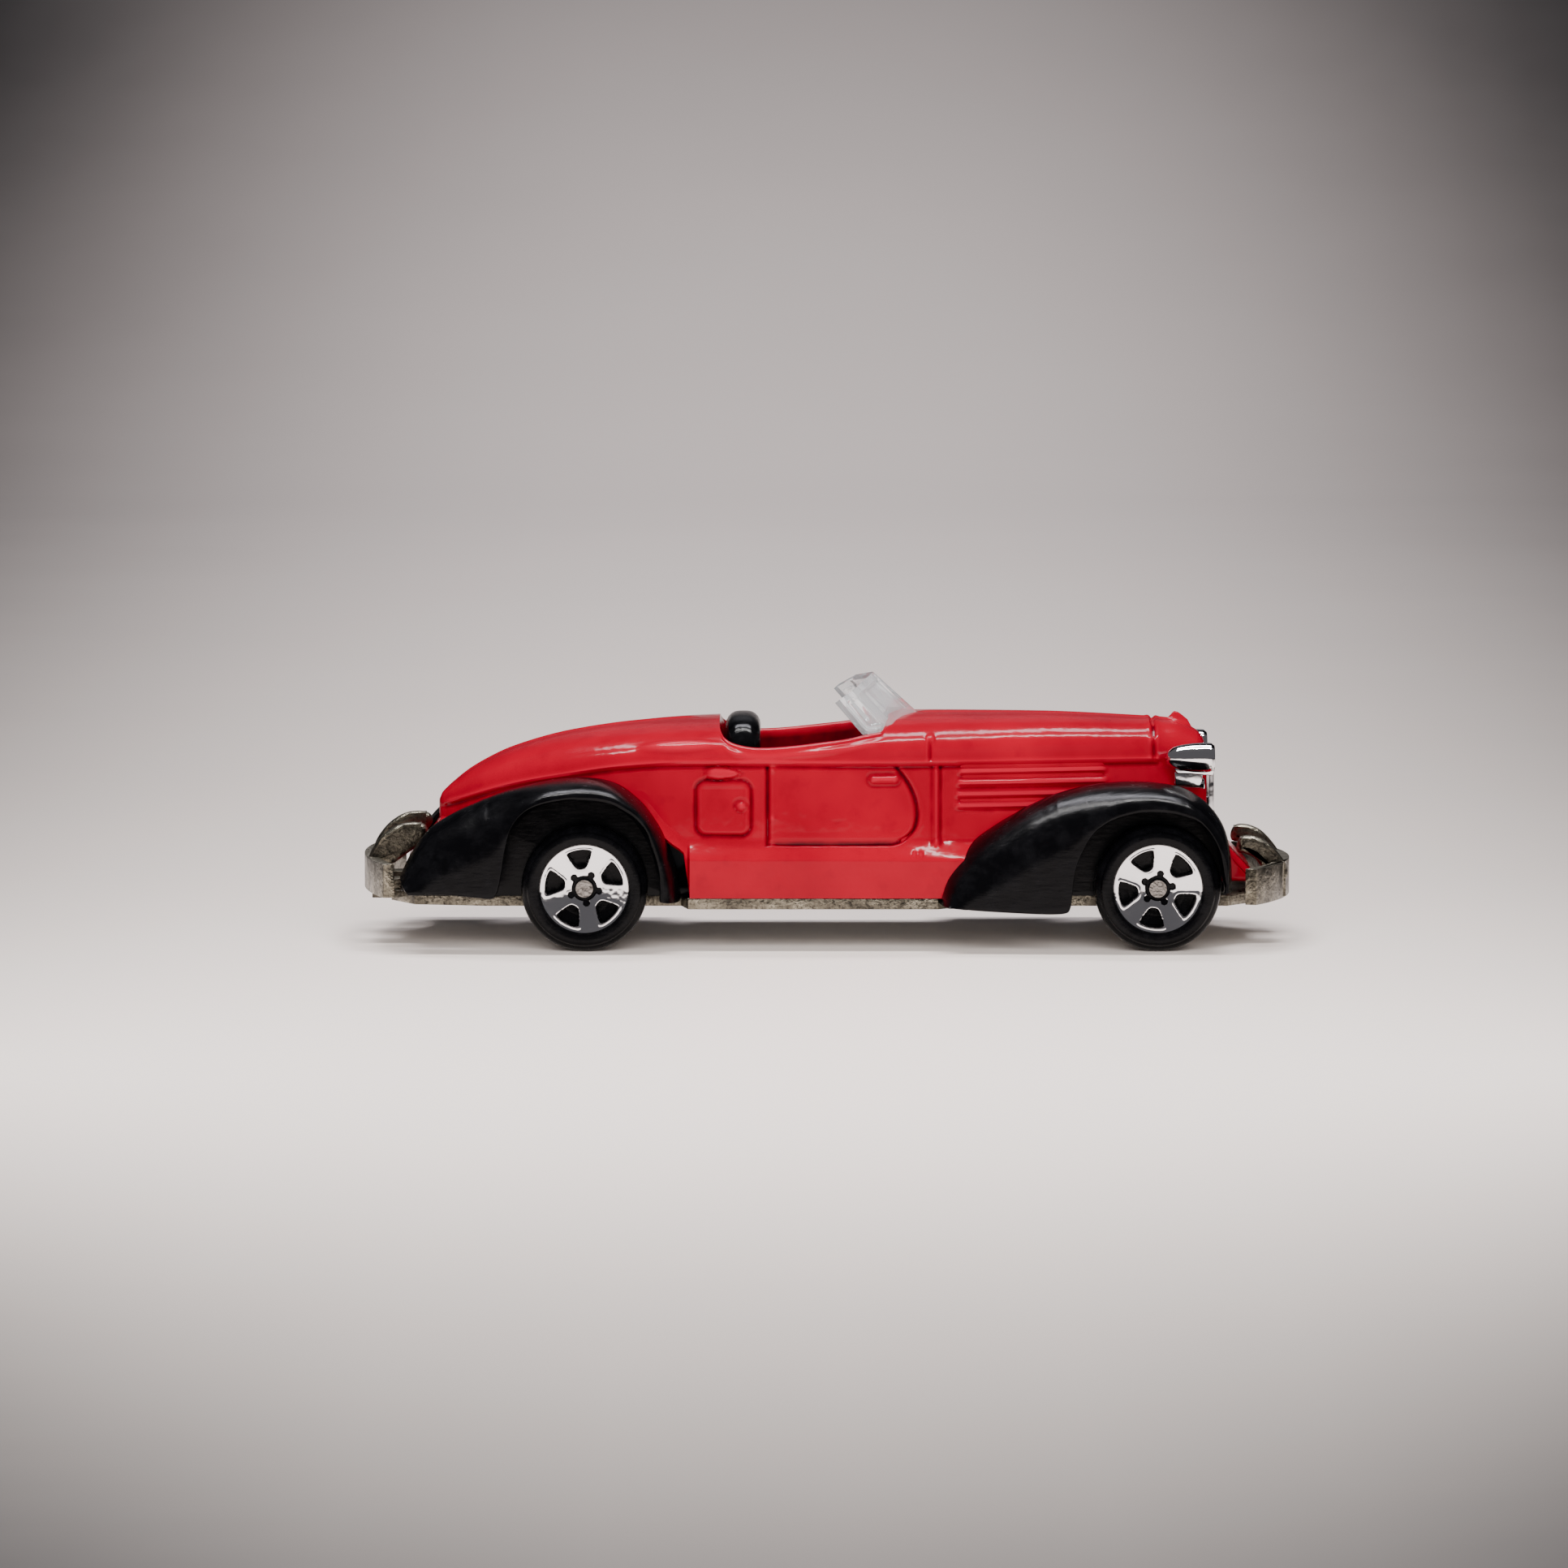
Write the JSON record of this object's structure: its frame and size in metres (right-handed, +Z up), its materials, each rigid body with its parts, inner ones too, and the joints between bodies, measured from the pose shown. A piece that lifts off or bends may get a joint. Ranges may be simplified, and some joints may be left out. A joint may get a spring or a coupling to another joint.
{
  "type": "pull back car",
  "caption": "Small die-cast open speedster with separate black fenders, raked windscreen and a geared pull-back motor on the rear axle.",
  "frame": {"origin": "on the ground under the middle of the car's overall length", "axes": "+X forward along the car, +Y to the driver's left, +Z up"},
  "size_m": [0.078, 0.0284, 0.0224],
  "materials": {
    "red_enamel": "deep red gloss enamel on zinc casting",
    "bare_zinc": null,
    "black_moulding": "black gloss plastic",
    "clear_moulding": null,
    "chromed_moulding": "vacuum-metallised plastic",
    "steel": "plain drawn steel",
    "zinc_plate": "bright zinc-plated steel",
    "gear_nylon": "natural nylon",
    "case_plastic": "dark grey acetal",
    "spring_steel": "blued spring strip"
  },
  "bodies": {
    "car": {"body_shell": "red_enamel", "chassis_base": "bare_zinc", "fender_moulding": "black_moulding", "interior_tub": "black_moulding", "windshield": "clear_moulding", "headlight_grille_trim": "chromed_moulding", "base_screws": "zinc_plate", "motor_screws": "zinc_plate", "front_axle": "steel", "motor_case_left": "case_plastic", "motor_case_right": "case_plastic", "spring_divider": "case_plastic", "spring_spindle": "steel", "mainspring": "spring_steel"},
    "rear_wheels": {"rear_axle": "steel", "rear_left_wheel": "black_moulding", "rear_right_wheel": "black_moulding", "rear_left_wheel_foil": "chromed_moulding", "rear_right_wheel_foil": "chromed_moulding", "axle_pinion": "gear_nylon"},
    "front_left": {"front_left_wheel": "black_moulding", "front_left_wheel_foil": "chromed_moulding"},
    "front_right": {"front_right_wheel": "black_moulding", "front_right_wheel_foil": "chromed_moulding"},
    "clutch_slider": {"clutch_spindle": "steel"},
    "clutch": {"clutch_gear": "gear_nylon"},
    "spring_drum": {"spring_gear": "gear_nylon"}
  },
  "joints": [
    {"name": "rear_axle_spin", "type": "hinge", "parent": "car", "child": "rear_wheels", "pos_m": [-0.0202, 0, 0.00525], "axis": [0, 1, 0], "continuous": true},
    {"name": "front_left_wheel_spin", "type": "hinge", "parent": "car", "child": "front_left", "pos_m": [0.0274, 0, 0.00525], "axis": [0, 1, 0], "continuous": true},
    {"name": "front_right_wheel_spin", "type": "hinge", "parent": "car", "child": "front_right", "pos_m": [0.0274, 0, 0.00525], "axis": [0, 1, 0], "continuous": true},
    {"name": "clutch_slide", "type": "slide", "parent": "car", "child": "clutch_slider", "axis": [-0.8526, 0, 0.5225], "range_m": [0, 0.00065]},
    {"name": "clutch_gear_spin", "type": "hinge", "parent": "clutch_slider", "child": "clutch", "pos_m": [-0.02207, 0, 0.00989], "axis": [0, 1, 0], "continuous": true},
    {"name": "spring_gear_spin", "type": "hinge", "parent": "car", "child": "spring_drum", "pos_m": [-0.0161, 0, 0.01041], "axis": [0, 1, 0], "continuous": true}
  ],
  "couplings": [
    {"joint": "clutch_gear_spin", "follows": "rear_axle_spin", "ratio": -0.33333},
    {"joint": "spring_gear_spin", "follows": "rear_axle_spin", "ratio": 0.11111}
  ]
}
